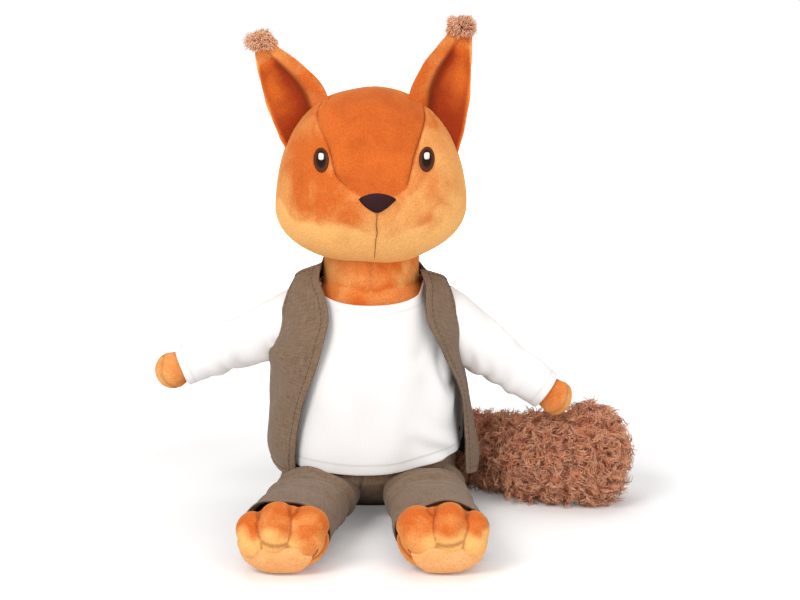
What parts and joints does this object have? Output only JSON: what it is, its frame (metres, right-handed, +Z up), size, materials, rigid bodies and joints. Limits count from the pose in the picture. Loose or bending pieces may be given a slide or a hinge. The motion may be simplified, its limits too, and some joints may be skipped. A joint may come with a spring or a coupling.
{
  "type": "plush squirrel doll",
  "caption": "Seated plush squirrel with tufted ears, a curly tail, soft arms and legs, a white shirt, an open sleeveless vest and shorts.",
  "frame": {"origin": "centre of the flat seat under the doll's shorts, on the surface it sits on", "axes": "+Z up through the neck and head; the doll looks along -Y; +X is the doll's left, the side its tail lies on"},
  "size_m": [0.2476, 0.1937, 0.2531],
  "materials": {
    "orange_plush": "short orange velour nap, matte",
    "pale_plush": "pale orange velour nap, matte",
    "stuffing": "white fibre filling, hidden",
    "curly_fur": "curly brown long-pile fur",
    "tuft_fur": "fluffy light brown fur",
    "white_jersey": "white knitted jersey",
    "khaki_twill": "khaki woven cotton, topstitched",
    "brown_thread": "dark brown satin-stitch embroidery",
    "dark_thread": "very dark brown satin-stitch embroidery",
    "white_thread": "white satin-stitch embroidery"
  },
  "bodies": {
    "torso": {"torso": "orange_plush", "torso_filling": "stuffing", "shirt_body": "white_jersey", "vest_back": "khaki_twill", "vest_right_front": "khaki_twill", "vest_left_front": "khaki_twill", "shorts_hips": "khaki_twill"},
    "neck": {"neck": "orange_plush"},
    "head": {"head": "orange_plush", "head_filling": "stuffing", "right_eye": "brown_thread", "left_eye": "brown_thread", "right_eye_glint": "white_thread", "left_eye_glint": "white_thread", "nose": "dark_thread"},
    "right_ear": {"right_ear": "orange_plush", "right_ear_tuft": "tuft_fur"},
    "left_ear": {"left_ear": "orange_plush", "left_ear_tuft": "tuft_fur"},
    "right_arm": {"right_arm": "orange_plush", "right_arm_filling": "stuffing", "right_sleeve": "white_jersey"},
    "left_arm": {"left_arm": "orange_plush", "left_arm_filling": "stuffing", "left_sleeve": "white_jersey"},
    "right_leg": {"right_leg": "orange_plush", "right_sole": "pale_plush", "right_leg_filling": "stuffing", "shorts_right_leg": "khaki_twill"},
    "left_leg": {"left_leg": "orange_plush", "left_sole": "pale_plush", "left_leg_filling": "stuffing", "shorts_left_leg": "khaki_twill"},
    "tail": {"tail": "curly_fur", "tail_filling": "stuffing"}
  },
  "joints": [
    {"name": "neck_turn", "type": "hinge", "parent": "torso", "child": "neck", "pos_m": [0, 0, 0.108], "axis": [0, 0, 1], "range_deg": [-40, 40], "stiffness_Nm_per_rad": 0.6},
    {"name": "head_nod", "type": "hinge", "parent": "neck", "child": "head", "pos_m": [0, 0, 0.141], "axis": [1, 0, 0], "range_deg": [-12, 12], "stiffness_Nm_per_rad": 0.6},
    {"name": "right_ear_flex", "type": "hinge", "parent": "head", "child": "right_ear", "pos_m": [-0.032, -0.002, 0.2], "axis": [0.6947, 0, 0.7193], "range_deg": [-20, 20], "stiffness_Nm_per_rad": 0.02},
    {"name": "left_ear_flex", "type": "hinge", "parent": "head", "child": "left_ear", "pos_m": [0.032, -0.002, 0.2], "axis": [0.6947, 0, -0.7193], "range_deg": [-20, 20], "stiffness_Nm_per_rad": 0.02},
    {"name": "right_arm_raise", "type": "hinge", "parent": "torso", "child": "right_arm", "pos_m": [-0.036, 0, 0.1], "axis": [0, 1, 0], "range_deg": [-30, 54], "stiffness_Nm_per_rad": 0.2},
    {"name": "left_arm_raise", "type": "hinge", "parent": "torso", "child": "left_arm", "pos_m": [0.036, 0, 0.1], "axis": [0, -1, 0], "range_deg": [-4, 66], "stiffness_Nm_per_rad": 0.2},
    {"name": "right_leg_swing", "type": "hinge", "parent": "torso", "child": "right_leg", "pos_m": [-0.0255, -0.018, 0.017], "axis": [1, 0, 0], "range_deg": [-15, 40], "stiffness_Nm_per_rad": 0.3},
    {"name": "left_leg_swing", "type": "hinge", "parent": "torso", "child": "left_leg", "pos_m": [0.0255, -0.018, 0.017], "axis": [1, 0, 0], "range_deg": [-15, 40], "stiffness_Nm_per_rad": 0.3},
    {"name": "tail_swing", "type": "hinge", "parent": "torso", "child": "tail", "pos_m": [0, 0.036, 0.016], "axis": [0, 0, 1], "range_deg": [0, 65], "stiffness_Nm_per_rad": 0.1}
  ]
}
